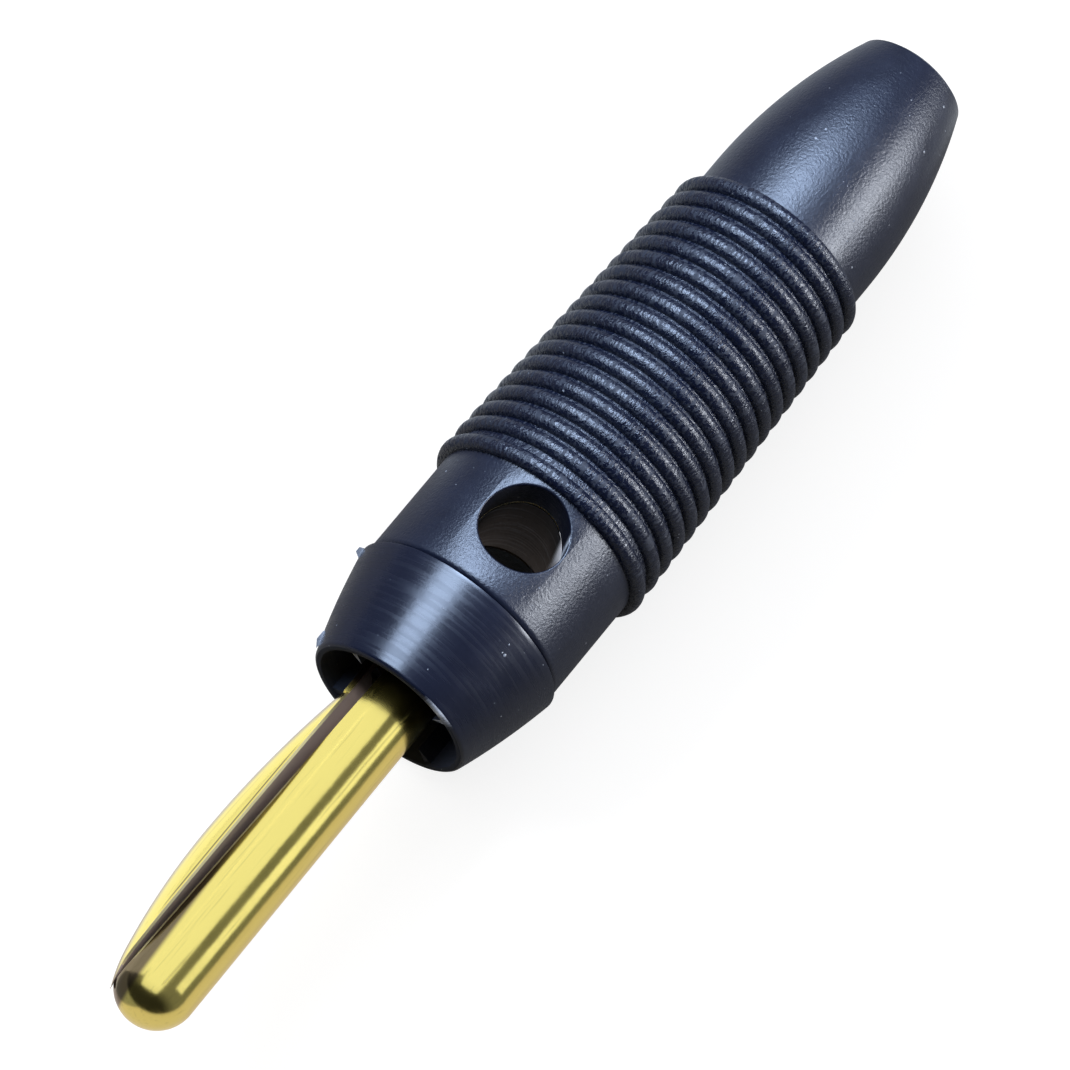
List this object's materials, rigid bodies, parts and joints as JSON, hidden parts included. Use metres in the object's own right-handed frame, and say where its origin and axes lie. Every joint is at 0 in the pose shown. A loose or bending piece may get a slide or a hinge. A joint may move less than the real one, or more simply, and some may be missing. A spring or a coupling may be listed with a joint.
{
  "type": "banana plug",
  "caption": "Stackable 4 mm banana plug: gold-plated pin with a bowed spring leaf, black nose collar and ribbed black grip sleeve with a cross hole for a second plug.",
  "frame": {"origin": "centre of the nose collar's front face, on the plug's axis, where the plug seats on a socket", "axes": "+X along the plug from the pin's tip towards the cable end, +Y to the side that carries the spring leaf, +Z along the cross hole"},
  "size_m": [0.0601, 0.0116, 0.0116],
  "materials": {
    "gold_contact": "polished, gold plated",
    "gold_leaf": "polished, gold plated",
    "nose_plastic": "gloss",
    "grip_plastic": "satin, fine moulded grain",
    "screw_steel": "turned"
  },
  "bodies": {
    "contact": {"contact_pin": "gold_contact", "nose_collar": "nose_plastic"},
    "leaf": {"spring_leaf": "gold_leaf"},
    "grip": {"grip_sleeve": "grip_plastic"},
    "screw": {"clamp_screw": "screw_steel"}
  },
  "joints": [
    {"name": "leaf_press", "type": "hinge", "parent": "contact", "child": "leaf", "pos_m": [-0.01845, 0.00174, 0], "axis": [0, 0, -1], "range_deg": [0, 1.5], "stiffness_Nm_per_rad": 0.5},
    {"name": "grip_pull", "type": "slide", "parent": "contact", "child": "grip", "axis": [1, 0, 0], "range_m": [0, 0.015]},
    {"name": "clamp_turn", "type": "hinge", "parent": "contact", "child": "screw", "pos_m": [0.0164, 0, 0.002], "axis": [0, 0, 1], "range_deg": [0, 1440]}
  ]
}
